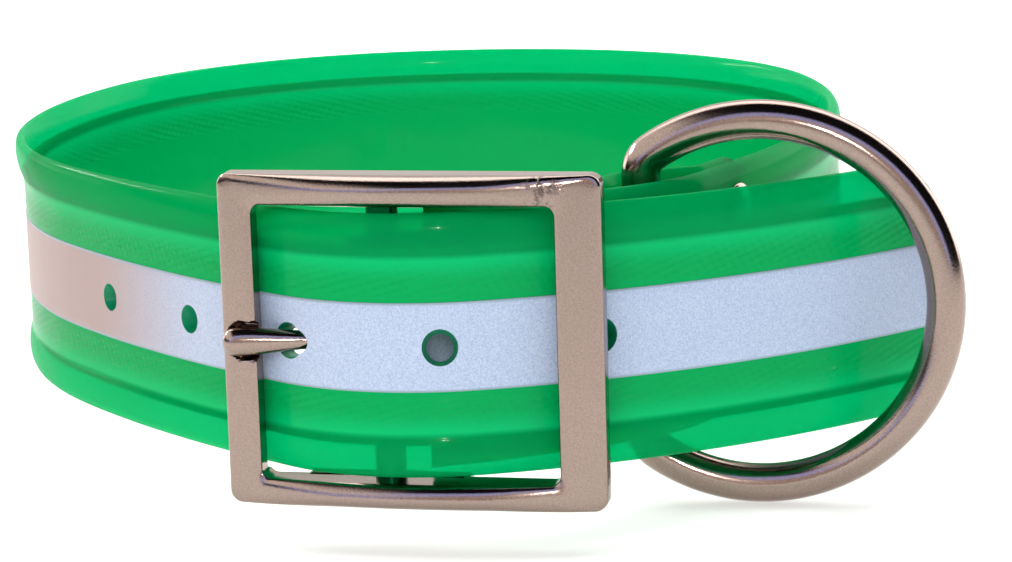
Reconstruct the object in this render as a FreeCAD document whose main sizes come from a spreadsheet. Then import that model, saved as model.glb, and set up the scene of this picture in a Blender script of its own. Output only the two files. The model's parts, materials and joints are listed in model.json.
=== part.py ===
import FreeCAD, Part
import math
import os

# A riveted dog collar with a centre-bar buckle and a D ring, as a parametric document.
#
# Frame: millimetres, +X right, +Y back, +Z up. The collar stands upright, buckled, with the
# buckle towards -Y, and z = 0 is level with the lowest point of the D ring. The origin is
# under the middle of its bounding box.
#
# The strap is one long piece. Seen from above it runs clockwise: from the free tip at the
# right front, leftwards through the buckle, round the left, back and right sides, in again
# behind its own free end, over the bar of the D ring, round the centre bar of the buckle,
# and back to a short tail behind the D ring.

Vector = FreeCAD.Vector
Rotation = FreeCAD.Rotation
Placement = FreeCAD.Placement

document = FreeCAD.newDocument("buckle_collar")

# ---------------------------------------------------------------- driving dimensions

SIZES = (
    # name, value in mm or degrees, what it is
    ("strap_width", 38.1, "1 1/2 inch strap"),
    ("strap_thick", 3.0, "coated strap, both faces"),
    ("strap_lift", 11.25, "lower strap edge above the lowest point of the D ring"),
    ("strap_edge_radius", 1.1, "rounding of the long edges"),
    ("tip_radius", 12.5, "rounded corners of the free tip"),
    ("tail_radius", 3.0, "rounded corners of the riveted tail"),
    ("tip_x", 72.09, "free tip, middle of the strap thickness"),
    ("tip_y", -54.782, "free tip, middle of the strap thickness"),
    ("tip_heading", 222.415, "direction in which the strap leaves its tip"),
    ("core_width", 28.6, "woven webbing inside the coating"),
    ("core_thick", 1.0, "woven webbing inside the coating"),
    ("core_end_margin", 4.0, "coating beyond the ends of the webbing"),
    ("stripe_width", 12.7, "1/2 inch reflective tape"),
    ("stripe_thick", 0.3, "tape, flush in the outer face"),
    ("hole_pitch", 22.85, "between adjusting holes"),
    ("hole_diameter", 5.2, "adjusting holes"),
    ("first_hole", 61.45, "from the tip along the strap to the first hole"),
    ("layer_gap", 0.05, "between riveted layers"),
    ("fold_gap", 0.35, "between the centre bar and the strap folded round it"),
    ("fold_trim", 5.0, "cut off each edge where the strap folds"),
    ("fold_trim_reach", 6.0, "how far right of the bar the trimmed part runs"),
    ("tongue_slot_width", 6.2, "slot in the fold for the tongue"),
    ("tongue_slot_reach", 5.4, "how far right of the bar the slot runs"),
    ("tail_reach", 7.0, "tail beyond the far rivets"),
    ("bar_radius", 2.3, "centre bar of the buckle"),
    ("bar_standoff", 2.2, "centre bar behind the flat back of the frame"),
    ("frame_yaw", 12.5, "frame turned, its right end forwards"),
    ("frame_left", 22.9, "centre bar to the left outer edge"),
    ("frame_right", 32.7, "centre bar to the right outer edge"),
    ("frame_height", 48.3, "outer height of the frame"),
    ("window_height", 40.4, "height of the opening for the strap"),
    ("left_bar_width", 5.3, "side bar that carries the tongue"),
    ("right_bar_width", 6.5, "side bar over the free end"),
    ("frame_mid_thick", 7.0, "rails at the top of their arch"),
    ("frame_end_thick", 3.0, "frame at its outer edges"),
    ("frame_corner_radius", 1.8, "outer corners"),
    ("window_corner_radius", 1.5, "inner corners"),
    ("frame_front_radius", 1.2, "rounding of the front edges"),
    ("frame_back_radius", 0.5, "rounding of the back edges"),
    ("relief_wide", 1.8, "bevel behind the side bars, where the strap passes"),
    ("relief_deep", 1.1, "bevel behind the side bars, where the strap passes"),
    ("lug_wide", 24.4, "thickened rail behind the frame, which holds the centre bar"),
    ("lug_back", 1.0, "centre bar to the back face of the lug"),
    ("tongue_radius", 1.5, "round wire of the tongue"),
    ("tongue_loop_gap", 0.1, "running clearance on the centre bar"),
    ("tongue_loop_wall", 1.5, "wall of the loop round the centre bar"),
    ("tongue_loop_width", 5.2, "loop along the centre bar"),
    ("tongue_rest_gap", 0.35, "between the tip of the tongue and its seat"),
    ("tongue_seat_deep", 1.1, "seat for the tip in the front of the left bar"),
    ("tongue_seat_slope", 5.0, "seat turned back towards its outer end"),
    ("tongue_seat_width", 5.4, "seat for the tip in the front of the left bar"),
    ("tongue_seat_corner", 1.1, "round bottom corners of the seat"),
    ("tongue_way_radius", 2.5, "slanting way through the strap for the tongue"),
    ("tongue_bend_reach", 17.8, "centre bar to the bend of the tongue"),
    ("tongue_bend_radius", 8.0, "bend of the tongue"),
    ("tongue_tip_length", 6.0, "swelling at the tip"),
    ("tongue_tip_width", 4.2, "swelling at the tip"),
    ("tongue_tip_thick", 3.2, "flattened tip"),
    ("tongue_tip_corner", 1.9, "rounded end of the tip"),
    ("tongue_tip_short", 0.5, "tip short of the outer edge of the frame"),
    ("tongue_rim_radius", 1.0, "rounding of the tip"),
    ("ring_wire_radius", 2.9, "wire of the D ring"),
    ("ring_bow_radius", 27.4, "bow, centre line of the wire"),
    ("ring_bow_offset", 17.2, "straight bar to the centre of the bow"),
    ("ring_corner_radius", 4.0, "corners between the bar and the bow"),
    ("ring_gap", 1.0, "between the bar of the ring and the strap"),
    ("ring_swing", 9.0, "ring turned, its bow forwards"),
    ("ring_along", 8.6, "bar of the ring, past the far straight run along the strap"),
    ("rivet_row", 12.0, "rivets above and below the middle of the strap"),
    ("rivet_shank_radius", 1.5, "rivet shank"),
    ("rivet_head_radius", 4.0, "rivet head"),
    ("rivet_head_high", 1.3, "rivet head"),
    ("rivet_rim_high", 0.4, "straight rim of a rivet head"),
    ("rivet_cap_radius", 3.2, "rivet cap"),
    ("rivet_cap_high", 1.5, "rivet cap"),
    ("rivet_socket_deep", 0.8, "shank inside the cap"),
    # The strap seen from above: every bend turns clockwise, from the tip to the fold.
    ("bend_front_right_radius", 149.0, "free end"),
    ("bend_front_right_turn", 19.915, "free end"),
    ("bend_front_radius", 122.0, "across the buckle window"),
    ("bend_front_turn", 13.1, "across the buckle window"),
    ("bend_buckle_radius", 31.0, "over the tongue"),
    ("bend_buckle_turn", 54.1, "over the tongue"),
    ("bend_front_left_radius", 227.0, "left front"),
    ("bend_front_left_turn", 14.4, "left front"),
    ("bend_left_radius", 88.0, "left side"),
    ("bend_left_turn", 32.4, "left side"),
    ("bend_back_left_radius", 120.5, "left back"),
    ("bend_back_left_turn", 22.0, "left back"),
    ("bend_corner_left_radius", 60.7, "rear left corner"),
    ("bend_corner_left_turn", 58.1, "rear left corner"),
    ("bend_back_radius", 75.6, "back"),
    ("bend_back_turn", 30.8, "back"),
    ("bend_corner_right_radius", 62.1, "rear right corner"),
    ("bend_corner_right_turn", 55.5, "rear right corner"),
    ("bend_right_radius", 112.5, "right side"),
    ("bend_right_turn", 24.6, "right side"),
    ("bend_inward_radius", 152.5, "right front, heading in behind the free end"),
    ("bend_inward_turn", 18.2, "right front, heading in behind the free end"),
    ("far_rivet_run", 9.0, "layers pressed together by the far rivets"),
    ("ring_lead", 4.6, "straight on from the far rivets towards the D ring"),
    ("bend_ring_radius", 27.4, "over the bar of the D ring"),
    ("bend_ring_turn", 27.5, "over the bar of the D ring"),
    ("bend_middle_radius", 82.7, "between the D ring and the near rivets"),
    ("bend_middle_turn", 8.7, "between the D ring and the near rivets"),
    ("near_rivet_run", 10.0, "straight run under the near rivets"),
    ("bend_last_radius", 55.6, "up to the centre bar"),
    ("bend_last_turn", 18.1, "up to the centre bar"),
    ("tail_corner_radius", 3.2, "small bends of the tail"),
)

sheet = document.addObject("Spreadsheet::Sheet", "sizes")
for row, (alias, value, note) in enumerate(SIZES, start=1):
    sheet.set("A%d" % row, alias)
    sheet.set("B%d" % row, str(value))
    sheet.set("C%d" % row, note)
    sheet.setAlias("B%d" % row, alias)
document.recompute()


def size(alias):
    """A driving dimension, read back from the sheet."""
    return float(sheet.get(alias))


def bind(feature, **expressions):
    """Tie properties of a feature to cells of the sheet."""
    for name, expression in expressions.items():
        feature.setExpression(name, expression)


# ---------------------------------------------------------------- plane paths

def heading_vector(degrees):
    """Unit vector of a heading, counted anticlockwise from +X."""
    return Vector(math.cos(math.radians(degrees)), math.sin(math.radians(degrees)), 0)


def left_of(degrees):
    """Unit vector to the left of a heading. On the main run this is the outer side."""
    return heading_vector(degrees + 90)


def straight(start, heading, length):
    """A straight piece of a path."""
    end = start + heading_vector(heading) * length
    return {"start": start, "end": end, "from": heading, "to": heading, "turn": 0.0,
            "radius": 0.0, "length": length}


def bend(start, heading, radius, turn):
    """A round piece of a path. A positive turn is clockwise."""
    side = 1 if turn > 0 else -1
    centre = start - left_of(heading) * (radius * side)
    end = centre + left_of(heading - turn) * (radius * side)
    return {"start": start, "end": end, "from": heading, "to": heading - turn, "turn": turn,
            "radius": radius, "centre": centre, "length": radius * math.radians(abs(turn))}


def follow(start, heading, steps):
    """A smooth path: each step is (radius, clockwise turn), or (0, length) for a straight."""
    path = []
    for radius, amount in steps:
        piece = bend(start, heading, radius, amount) if radius else straight(start, heading, amount)
        path.append(piece)
        start, heading = piece["end"], piece["to"]
    return path


def direction(a, b):
    """Heading from one point to another."""
    return math.degrees(math.atan2(b.y - a.y, b.x - a.x))


def signed_turn(before, after):
    """Clockwise turn between two headings, from -180 to 180."""
    return (before - after + 180) % 360 - 180


def rounded(points, radii):
    """A path along a polyline whose inner corners are rounded to the given radii."""
    path = []
    start = points[0]
    for corner, following, radius in zip(points[1:-1], points[2:], radii):
        before, after = direction(start, corner), direction(corner, following)
        turn = signed_turn(before, after)
        setback = radius * math.tan(math.radians(abs(turn) / 2))
        run = (corner - start).Length - setback
        path.append(straight(start, before, run))
        path.append(bend(path[-1]["end"], before, radius, turn))
        start = path[-1]["end"]
    path.append(straight(start, direction(start, points[-1]), (points[-1] - start).Length))
    return path


def length_of(path):
    return sum(piece["length"] for piece in path)


def place_on(path, distance):
    """The point and heading at a distance along a path."""
    for piece in path:
        if distance <= piece["length"]:
            break
        distance -= piece["length"]
    if not piece["turn"]:
        return piece["start"] + heading_vector(piece["from"]) * distance, piece["from"]
    heading = piece["from"] - piece["turn"] * distance / piece["length"]
    side = 1 if piece["turn"] > 0 else -1
    return piece["centre"] + left_of(heading) * (piece["radius"] * side), heading


def trimmed(path, margin):
    """The same path, shorter by a margin at each end."""
    path = [dict(piece) for piece in path]
    point, heading = place_on(path, margin)
    first, last = path[0], path[-1]
    path[0] = bend(point, heading, first["radius"], signed_turn(heading, first["to"]))
    path[-1] = straight(last["start"], last["from"], last["length"] - margin)
    return path


def offset_edge(piece, shift):
    """Sketch geometry of a path piece, moved to its left by a shift."""
    start = piece["start"] + left_of(piece["from"]) * shift
    end = piece["end"] + left_of(piece["to"]) * shift
    if not piece["turn"]:
        return Part.LineSegment(start, end)
    middle_heading = (piece["from"] + piece["to"]) / 2
    side = 1 if piece["turn"] > 0 else -1
    middle = piece["centre"] + left_of(middle_heading) * (piece["radius"] * side + shift)
    return Part.Arc(start, middle, end)


def band_outline(path, inner, outer):
    """Closed outline of a band along a path, between two shifts to its left."""
    outline = [offset_edge(piece, outer) for piece in path]
    outline += [offset_edge(piece, inner) for piece in path]
    for end, key in ((path[0], "from"), (path[-1], "to")):
        point = end["start"] if key == "from" else end["end"]
        side = left_of(end[key])
        outline.append(Part.LineSegment(point + side * inner, point + side * outer))
    return outline


# ---------------------------------------------------------------- routes and places

strap_thick = size("strap_thick")
half_thick = strap_thick / 2
layer_step = strap_thick + size("layer_gap")
middle_high = size("strap_width") / 2

MAIN_BENDS = ("front_right", "front", "buckle", "front_left", "left", "back_left", "corner_left",
              "back", "corner_right", "right", "inward")


def bend_step(name):
    return size("bend_%s_radius" % name), size("bend_%s_turn" % name)


steps_to_rivets = [bend_step(name) for name in MAIN_BENDS]
steps_after = [(0, size("far_rivet_run")), (0, size("ring_lead")), bend_step("ring"),
               bend_step("middle"), (0, size("near_rivet_run")), bend_step("last")]
main_run = follow(Vector(size("tip_x"), size("tip_y"), 0), size("tip_heading"),
                  steps_to_rivets + steps_after)

far_run = main_run[len(steps_to_rivets)]
near_run = main_run[len(steps_to_rivets) + 4]
fold_start = main_run[-1]["end"]
fold_heading = main_run[-1]["to"]

# The centre bar of the buckle is the axis of the fold.
fold_radius = size("bar_radius") + size("fold_gap") + half_thick
bar_axis = fold_start - left_of(fold_heading) * fold_radius

# The bar of the D ring lies in the hollow of the bend over it.
ring_reach = size("ring_wire_radius") + size("ring_gap") + half_thick
ring_distance = length_of(main_run[:len(steps_to_rivets) + 2]) + size("ring_along")
ring_point, ring_heading = place_on(main_run, ring_distance)
ring_axis = ring_point - left_of(ring_heading) * ring_reach


def tangent_corner(point, centre, radius, clockwise):
    """Heading from a point that just touches a circle, passing it on the chosen side."""
    distance = (centre - point).Length
    swing = math.degrees(math.asin(radius / distance))
    return direction(point, centre) + (swing if clockwise else -swing)


def crossing(a, heading_a, b, heading_b):
    """Where two lines, given by a point and a heading, meet."""
    u, v = heading_vector(heading_a), heading_vector(heading_b)
    along = ((b.x - a.x) * v.y - (b.y - a.y) * v.x) / (u.x * v.y - u.y * v.x)
    return a + u * along


def tail_points():
    """Corners of the tail: parallel to the main run under the rivets, bulging at the D ring."""
    near_heading, far_heading = near_run["from"] + 180, far_run["from"] + 180
    inward = -layer_step
    near_in = near_run["end"] + left_of(near_run["from"]) * inward
    near_out = near_run["start"] + left_of(near_run["from"]) * inward
    far_in = far_run["end"] + left_of(far_run["from"]) * inward
    far_out = far_run["start"] + left_of(far_run["from"]) * inward
    last = far_out + heading_vector(far_heading) * (size("tail_reach") - size("far_rivet_run") / 2)
    bulge_in = tangent_corner(near_out, ring_axis, ring_reach, True)
    bulge_out = tangent_corner(far_in, ring_axis, ring_reach, False)
    bulge = crossing(near_out, bulge_in, far_in, bulge_out)
    return near_in, near_out, bulge, far_in, last


tail_corners = tail_points()
leave_heading = direction(bar_axis, tail_corners[0]) - math.degrees(
    math.asin(fold_radius / (tail_corners[0] - bar_axis).Length))
fold_turn = (fold_heading - leave_heading) % 360
fold = bend(fold_start, fold_heading, fold_radius, fold_turn)
small = size("tail_corner_radius")
tail_run = rounded((fold["end"],) + tail_corners, (small, small, ring_reach, small))
strap_path = main_run + [fold] + tail_run

# Two rivets, one above the other, on each side of the D ring.
RIVETS = {}
for group, run in (("near", near_run), ("far", far_run)):
    spot = (run["start"] + run["end"]) * 0.5 + left_of(run["from"]) * half_thick
    RIVETS["%s_upper" % group] = (spot, run["from"], middle_high + size("rivet_row"))
    RIVETS["%s_lower" % group] = (spot, run["from"], middle_high - size("rivet_row"))

HOLE_COUNT = 5
TONGUE_HOLE = 2    # counted from the tip, starting at 0

buckle_place = Placement(bar_axis + Vector(0, 0, size("strap_lift") + middle_high),
                         Rotation(Vector(0, 0, 1), -size("frame_yaw")))

# In the buckle's own axes the front of the frame is an arch, round about an upright axis.
frame_half_length = (size("frame_left") + size("frame_right")) / 2
arch_rise = size("frame_mid_thick") - size("frame_end_thick")
arch_radius = (frame_half_length ** 2 + arch_rise ** 2) / (2 * arch_rise)
arch_top = -size("bar_standoff") - size("frame_mid_thick")
arch_centre = Vector((size("frame_right") - size("frame_left")) / 2, arch_top + arch_radius, 0)

# The tip of the tongue lies over a seat in the front of the left bar, parallel to it.
seat_x = -size("frame_left") + size("left_bar_width") / 2
seat_front = Vector(seat_x, arch_centre.y - math.sqrt(arch_radius ** 2
                                                      - (arch_centre.x - seat_x) ** 2), 0)
seat_turn = Rotation(Vector(0, 0, 1), -size("tongue_seat_slope"))
seat_out, seat_along = seat_turn.multVec(Vector(0, -1, 0)), seat_turn.multVec(Vector(-1, 0, 0))
tip_underside = size("tongue_rest_gap") - size("tongue_seat_deep")
tip_middle = seat_front + seat_out * (tip_underside + size("tongue_tip_thick") / 2)

# The wire leaves the loop round the centre bar, slants out through the strap and bends.
tongue_bore = size("bar_radius") + size("tongue_loop_gap")
loop_radius = tongue_bore + size("tongue_loop_wall")
wire_start = Vector(-0.6, size("tongue_radius") - loop_radius, 0)
wire_corner = tip_middle + seat_along * ((-size("tongue_bend_reach") - tip_middle.x) / seat_along.x)
wire_heading = (wire_corner - wire_start).normalize()


# ---------------------------------------------------------------- building blocks

parts = []
strap_base = Placement(Vector(0, 0, size("strap_lift")), Rotation())


def new_body(label, placement):
    body = document.addObject("PartDesign::Body", label)
    body.Label = label
    body.Placement = placement
    parts.append(body)
    return body


def sketch(body, name, plane, geometry, offset=None):
    """A sketch on one of the body's own origin planes."""
    support = [item for item in body.Origin.OriginFeatures if item.Role == plane][0]
    drawing = body.newObject("Sketcher::SketchObject", name)
    drawing.AttachmentSupport = [(support, "")]
    drawing.MapMode = "FlatFace"
    if offset:
        drawing.AttachmentOffset = offset
    drawing.addGeometry(geometry, False)
    return drawing


def lifted(height):
    """Offset of a sketch above its plane."""
    return Placement(Vector(0, 0, height), Rotation())


def pad(body, name, profile, **expressions):
    feature = body.newObject("PartDesign::Pad", name)
    feature.Profile = profile
    bind(feature, **expressions)
    return feature


def pocket(body, name, profile, both_ways=False, **expressions):
    """A cut. It stops the build if it removes nothing."""
    document.recompute()
    before = body.Shape.Volume
    feature = body.newObject("PartDesign::Pocket", name)
    feature.Profile = profile
    feature.Reversed = not both_ways
    if both_ways:
        feature.Midplane = True
    bind(feature, **expressions)
    document.recompute()
    if body.Shape.Volume > before - 0.5:
        raise RuntimeError("%s cuts nothing" % name)
    return feature


def polygon(points):
    """Closed outline through points."""
    return [Part.LineSegment(a, b) for a, b in zip(points, points[1:] + points[:1])]


def rounded_rectangle(left, right, low, high, radius):
    """Closed outline of a rectangle with round corners."""
    outline = []
    corners = ((right, high, 0), (left, high, 90), (left, low, 180), (right, low, 270))
    arcs = []
    for x, y, start_angle in corners:
        centre = Vector(x - radius if x == right else x + radius,
                        y - radius if y == high else y + radius, 0)
        spokes = [centre + heading_vector(start_angle + extra) * radius for extra in (0, 45, 90)]
        arcs.append(spokes)
        outline.append(Part.Arc(*spokes))
    for this, following in zip(arcs, arcs[1:] + arcs[:1]):
        outline.append(Part.LineSegment(this[2], following[0]))
    return outline


def fillet(body, name, edges, **expressions):
    """Round the edges that a test picks out of the body's shape."""
    document.recompute()
    base = body.Tip
    names = ["Edge%d" % number for number, edge in enumerate(base.Shape.Edges, start=1)
             if edges(edge)]
    feature = body.newObject("PartDesign::Fillet", name)
    feature.Base = (base, names)
    bind(feature, **expressions)
    document.recompute()


def punch(body, name, centre, axis, radius_expression, reach):
    """A round hole along an axis, cut through a few millimetres either side of a point."""
    tool = body.newObject("PartDesign::SubtractiveCylinder", name)
    bind(tool, Radius=radius_expression)
    tool.Height = 2 * reach
    tool.Placement = Placement(centre - axis * reach, Rotation(Vector(0, 0, 1), axis))
    return tool


# ---------------------------------------------------------------- strap

def fold_region(reach, left_margin):
    """Outline round the fold that leaves the free end in front of it alone."""
    clear = bar_axis.y - fold_radius - half_thick - 0.15
    left = bar_axis.x - fold_radius - half_thick - left_margin
    slope = 2.6
    return polygon([Vector(left, clear + slope, 0), Vector(bar_axis.x - slope, clear, 0),
                    Vector(bar_axis.x + reach, clear, 0),
                    Vector(bar_axis.x + reach, bar_axis.y + 8, 0),
                    Vector(left, bar_axis.y + 8, 0)])


def cut_openings(body):
    """The adjusting holes and the tongue slot, which go through every strap layer."""
    for number in range(HOLE_COUNT):
        point, heading = place_on(main_run, size("first_hole") + number * size("hole_pitch"))
        centre = Vector(point.x, point.y, middle_high)
        punch(body, "hole_%d" % (number + 1), centre, left_of(heading), "sizes.hole_diameter / 2",
              strap_thick)
    slot = sketch(body, "slot_outline", "XY_Plane", fold_region(size("tongue_slot_reach"), 1.0),
                  lifted(middle_high - size("tongue_slot_width") / 2))
    pocket(body, "tongue_slot", slot, Length="sizes.tongue_slot_width")
    hole, heading = place_on(main_run, size("first_hole") + TONGUE_HOLE * size("hole_pitch"))
    turn = buckle_place.Rotation
    start = bar_axis + turn.multVec(wire_start)
    along = turn.multVec(wire_heading)
    nearest = start + along * (hole - start).dot(along)
    punch(body, "tongue_way", Vector(nearest.x, nearest.y, middle_high), along,
          "sizes.tongue_way_radius", 3 * strap_thick)


def cut_rivet_holes(body):
    """A hole for each rivet shank, through both riveted layers."""
    for name, (spot, heading, high) in RIVETS.items():
        centre = Vector(spot.x, spot.y, high) - left_of(heading) * strap_thick
        punch(body, "rivet_hole_" + name, centre, left_of(heading), "sizes.rivet_shank_radius",
              strap_thick + 0.5)


def trim_fold(body):
    """Both long edges narrowed where the strap folds inside the buckle frame."""
    region = fold_region(size("fold_trim_reach"), 1.0)
    low = sketch(body, "low_trim_outline", "XY_Plane", region)
    pocket(body, "low_trim", low, Length="sizes.fold_trim")
    high = sketch(body, "high_trim_outline", "XY_Plane", region,
                  lifted(size("strap_width") - size("fold_trim")))
    pocket(body, "high_trim", high, Length="sizes.fold_trim")


def make_strap_coating():
    """The moulded coating: the whole outer shape of the strap, hollow for the webbing."""
    body = new_body("strap_coating", strap_base)
    outline = sketch(body, "band_outline", "XY_Plane",
                     band_outline(strap_path, -half_thick, half_thick))
    pad(body, "band", outline, Length="sizes.strap_width")
    width = size("strap_width")

    def at_end(edge, end):
        middle = edge.BoundBox.Center
        across = abs(edge.Length - strap_thick) < 0.01
        near = math.hypot(middle.x - end.x, middle.y - end.y) < strap_thick
        return across and near and min(middle.z, width - middle.z) < 0.01

    fillet(body, "tip_corners", lambda edge: at_end(edge, strap_path[0]["start"]),
           Radius="sizes.tip_radius")
    fillet(body, "tail_corners", lambda edge: at_end(edge, strap_path[-1]["end"]),
           Radius="sizes.tail_radius")

    def long_edge(edge):
        box = edge.BoundBox
        flat = box.ZLength < 0.01
        return flat and min(box.ZMin, width - box.ZMax) < 0.01 and edge.Length > strap_thick + 0.05

    fillet(body, "soft_edges", long_edge, Radius="sizes.strap_edge_radius")
    core = sketch(body, "core_outline", "XY_Plane",
                  band_outline(trimmed(strap_path, size("core_end_margin")),
                               -size("core_thick") / 2, size("core_thick") / 2),
                  lifted(middle_high - size("core_width") / 2))
    pocket(body, "core_cavity", core, Length="sizes.core_width")
    stripe = sketch(body, "stripe_outline", "XY_Plane",
                    band_outline(strap_path, half_thick - size("stripe_thick"), half_thick + 0.02),
                    lifted(middle_high - size("stripe_width") / 2))
    pocket(body, "stripe_recess", stripe, Length="sizes.stripe_width")
    cut_openings(body)
    cut_rivet_holes(body)
    trim_fold(body)


def make_webbing_core():
    """The woven webbing inside the coating, which carries the pull."""
    body = new_body("webbing_core", strap_base)
    outline = sketch(body, "core_outline", "XY_Plane",
                     band_outline(trimmed(strap_path, size("core_end_margin")),
                                  -size("core_thick") / 2, size("core_thick") / 2),
                     lifted(middle_high - size("core_width") / 2))
    pad(body, "core", outline, Length="sizes.core_width")
    cut_openings(body)
    cut_rivet_holes(body)


def make_reflective_stripe():
    """The reflective tape along the middle of the outer face."""
    body = new_body("reflective_stripe", strap_base)
    outline = sketch(body, "stripe_outline", "XY_Plane",
                     band_outline(strap_path, half_thick - size("stripe_thick"), half_thick),
                     lifted(middle_high - size("stripe_width") / 2))
    pad(body, "stripe", outline, Length="sizes.stripe_width")
    cut_openings(body)


# ---------------------------------------------------------------- buckle

def make_buckle_frame():
    """The cast frame: an arched rectangle with the round centre bar across its back."""
    body = new_body("buckle_frame", buckle_place)
    left, right = -size("frame_left"), size("frame_right")
    half_high, half_window = size("frame_height") / 2, size("window_height") / 2
    outline = rounded_rectangle(left, right, -half_high, half_high, size("frame_corner_radius"))
    outline += rounded_rectangle(left + size("left_bar_width"), right - size("right_bar_width"),
                                 -half_window, half_window, size("window_corner_radius"))
    # A sketch on XZ faces -Y, the front.
    front_view = sketch(body, "frame_outline", "XZ_Plane", outline, lifted(size("bar_standoff")))
    pad(body, "frame", front_view, Length="sizes.frame_mid_thick")

    spread = frame_half_length + 4
    fall = arch_radius - math.sqrt(arch_radius ** 2 - spread ** 2)
    ends = [Vector(arch_centre.x + side * spread, arch_top + fall, 0) for side in (-1, 1)]
    front = [Vector(end.x, arch_top - 2, 0) for end in ends]
    arch = [Part.Arc(ends[0], Vector(arch_centre.x, arch_top, 0), ends[1]),
            Part.LineSegment(ends[1], front[1]),
            Part.LineSegment(front[1], front[0]),
            Part.LineSegment(front[0], ends[0])]
    plan = sketch(body, "arch_outline", "XY_Plane", arch)
    pocket(body, "arch", plan, both_ways=True, Length="sizes.frame_height * 1.2")

    def on_front(edge):
        points = [edge.valueAt(edge.FirstParameter), edge.valueAt(edge.LastParameter),
                  edge.valueAt((edge.FirstParameter + edge.LastParameter) / 2)]
        return all(abs(math.hypot(p.x - arch_centre.x, p.y - arch_centre.y) - arch_radius) < 0.01
                   for p in points)

    def on_back(edge):
        box = edge.BoundBox
        on_outline = max(abs(box.ZMin), abs(box.ZMax)) > half_window + 0.5
        return box.YMin > -size("bar_standoff") - 0.01 and on_outline

    fillet(body, "front_edges", on_front, Radius="sizes.frame_front_radius")
    fillet(body, "back_edges", on_back, Radius="sizes.frame_back_radius")

    # The inner back corner of each side bar is bevelled.
    back = -size("bar_standoff")
    wide, deep = size("relief_wide"), size("relief_deep")
    inner_left, inner_right = left + size("left_bar_width"), right - size("right_bar_width")
    past = 3.0    # how far each bevel's cutter runs into the window
    bevels = []
    for x, side in ((inner_left, 1), (inner_right, -1)):
        bevels += polygon([Vector(x - side * wide, back, 0), Vector(x + side * past, back + 0.2, 0),
                           Vector(x + side * past, back - deep * (wide + past) / wide, 0)])
    relief = sketch(body, "relief_outline", "XY_Plane", bevels)
    pocket(body, "strap_relief", relief, both_ways=True, Length="sizes.window_height - 1.2")

    # A sketch on YZ faces +X: its X is the depth of the seat, its Y the height.
    half_seat = size("tongue_seat_width") / 2
    across = sketch(body, "seat_outline", "YZ_Plane",
                    rounded_rectangle(-6, size("tongue_seat_deep"), -half_seat, half_seat,
                                      size("tongue_seat_corner")),
                    Placement(Vector(seat_front.y, 0, seat_front.x),
                              Rotation(Vector(0, 1, 0), -size("tongue_seat_slope"))))
    pocket(body, "tongue_seat", across, both_ways=True, Length="sizes.left_bar_width * 2.2")

    # Each rail is thickened behind, and the centre bar runs from lug to lug.
    reach = size("lug_wide") / 2
    lugs = rounded_rectangle(-reach, reach, half_window, half_high - 0.4, 1.2)
    lugs += rounded_rectangle(-reach, reach, 0.4 - half_high, -half_window, 1.2)
    lug_view = sketch(body, "lug_outline", "XZ_Plane", lugs, lifted(-size("lug_back")))
    pad(body, "lugs", lug_view, Length="sizes.lug_back + sizes.bar_standoff + 1")
    bar = body.newObject("PartDesign::AdditiveCylinder", "centre_bar")
    bind(bar, Radius="sizes.bar_radius", Height="sizes.frame_height - 2.4")
    bar.Placement = lifted(1.2 - half_high)


def make_buckle_tongue():
    """The tongue: a loop round the centre bar and a round wire that ends on the left bar."""
    body = new_body("buckle_tongue", buckle_place)
    # A sketch on XZ faces -Y. Turned square to the seat, it faces outwards.
    wire = size("tongue_radius")
    slope = size("tongue_seat_slope")
    tip_end = size("tongue_tip_short") - size("frame_left")
    tip_left = (tip_end - seat_x) / math.cos(math.radians(slope))
    half_tip = size("tongue_tip_width") / 2
    flat = sketch(body, "tip_outline", "XZ_Plane",
                  rounded_rectangle(tip_left, tip_left + size("tongue_tip_length"),
                                    -half_tip, half_tip, size("tongue_tip_corner")),
                  Placement(Vector(seat_front.x, 0, -seat_front.y)
                            + Vector(seat_out.x, 0, -seat_out.y) * tip_underside,
                            Rotation(Vector(0, 1, 0), -slope)))
    pad(body, "tip", flat, Length="sizes.tongue_tip_thick")

    def on_tip_rim(edge):
        height = abs((edge.CenterOfMass - tip_middle).dot(seat_out))
        return abs(height - size("tongue_tip_thick") / 2) < 0.01

    fillet(body, "tip_rim", on_tip_rim, Radius="sizes.tongue_rim_radius")

    spine_pieces = rounded((wire_start, wire_corner, tip_middle), (size("tongue_bend_radius"),))
    spine = sketch(body, "wire_path", "XY_Plane", [offset_edge(piece, 0) for piece in spine_pieces])
    heading = spine_pieces[0]["from"]
    profile = sketch(body, "wire_section", "XY_Plane", [Part.Circle(Vector(), Vector(0, 0, 1), wire)],
                     Placement(wire_start, Rotation(Vector(0, 0, 1), heading_vector(heading))))
    rod = body.newObject("PartDesign::AdditivePipe", "rod")
    rod.Profile = profile
    rod.Spine = spine
    loop = body.newObject("PartDesign::AdditiveCylinder", "loop")
    loop.Radius = loop_radius
    bind(loop, Height="sizes.tongue_loop_width")
    loop.Placement = lifted(-size("tongue_loop_width") / 2)
    hole = body.newObject("PartDesign::SubtractiveCylinder", "bore")
    hole.Radius = tongue_bore
    bind(hole, Height="sizes.tongue_loop_width * 2")
    hole.Placement = lifted(-size("tongue_loop_width"))


# ---------------------------------------------------------------- D ring

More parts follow.
